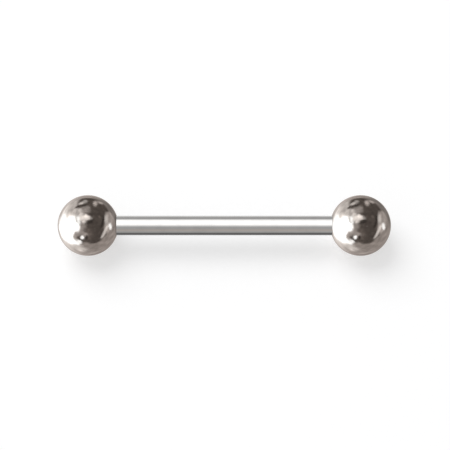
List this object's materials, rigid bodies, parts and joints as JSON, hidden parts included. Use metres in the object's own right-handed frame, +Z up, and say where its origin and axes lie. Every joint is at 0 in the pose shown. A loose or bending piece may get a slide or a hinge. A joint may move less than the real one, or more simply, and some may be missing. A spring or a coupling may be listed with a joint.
{
  "type": "piercing barbell",
  "caption": "Straight barbell for a body piercing: a polished round bar with a threaded stud at each end, and a solid ball screwed onto each stud.",
  "frame": {"origin": "on the surface that both balls rest on, under the middle of the bar", "axes": "+Z up, +X along the bar towards the right-hand ball, +Y away from the viewer"},
  "size_m": [0.0274, 0.005, 0.005],
  "materials": {
    "bar_steel": "mirror-polished surgical steel, with faint marks along the bar from drawing",
    "ball_steel": "mirror-polished surgical steel, with fine tumbling marks and wiped smears"
  },
  "bodies": {
    "bar": {"bar": "bar_steel"},
    "ball_left": {"ball_left": "ball_steel"},
    "ball_right": {"ball_right": "ball_steel"}
  },
  "joints": [
    {"name": "left_ball_unscrews", "type": "slide", "parent": "bar", "child": "ball_left", "axis": [-1, 0, 0], "range_m": [0, 0.012]},
    {"name": "right_ball_unscrews", "type": "slide", "parent": "bar", "child": "ball_right", "axis": [1, 0, 0], "range_m": [0, 0.012]}
  ]
}
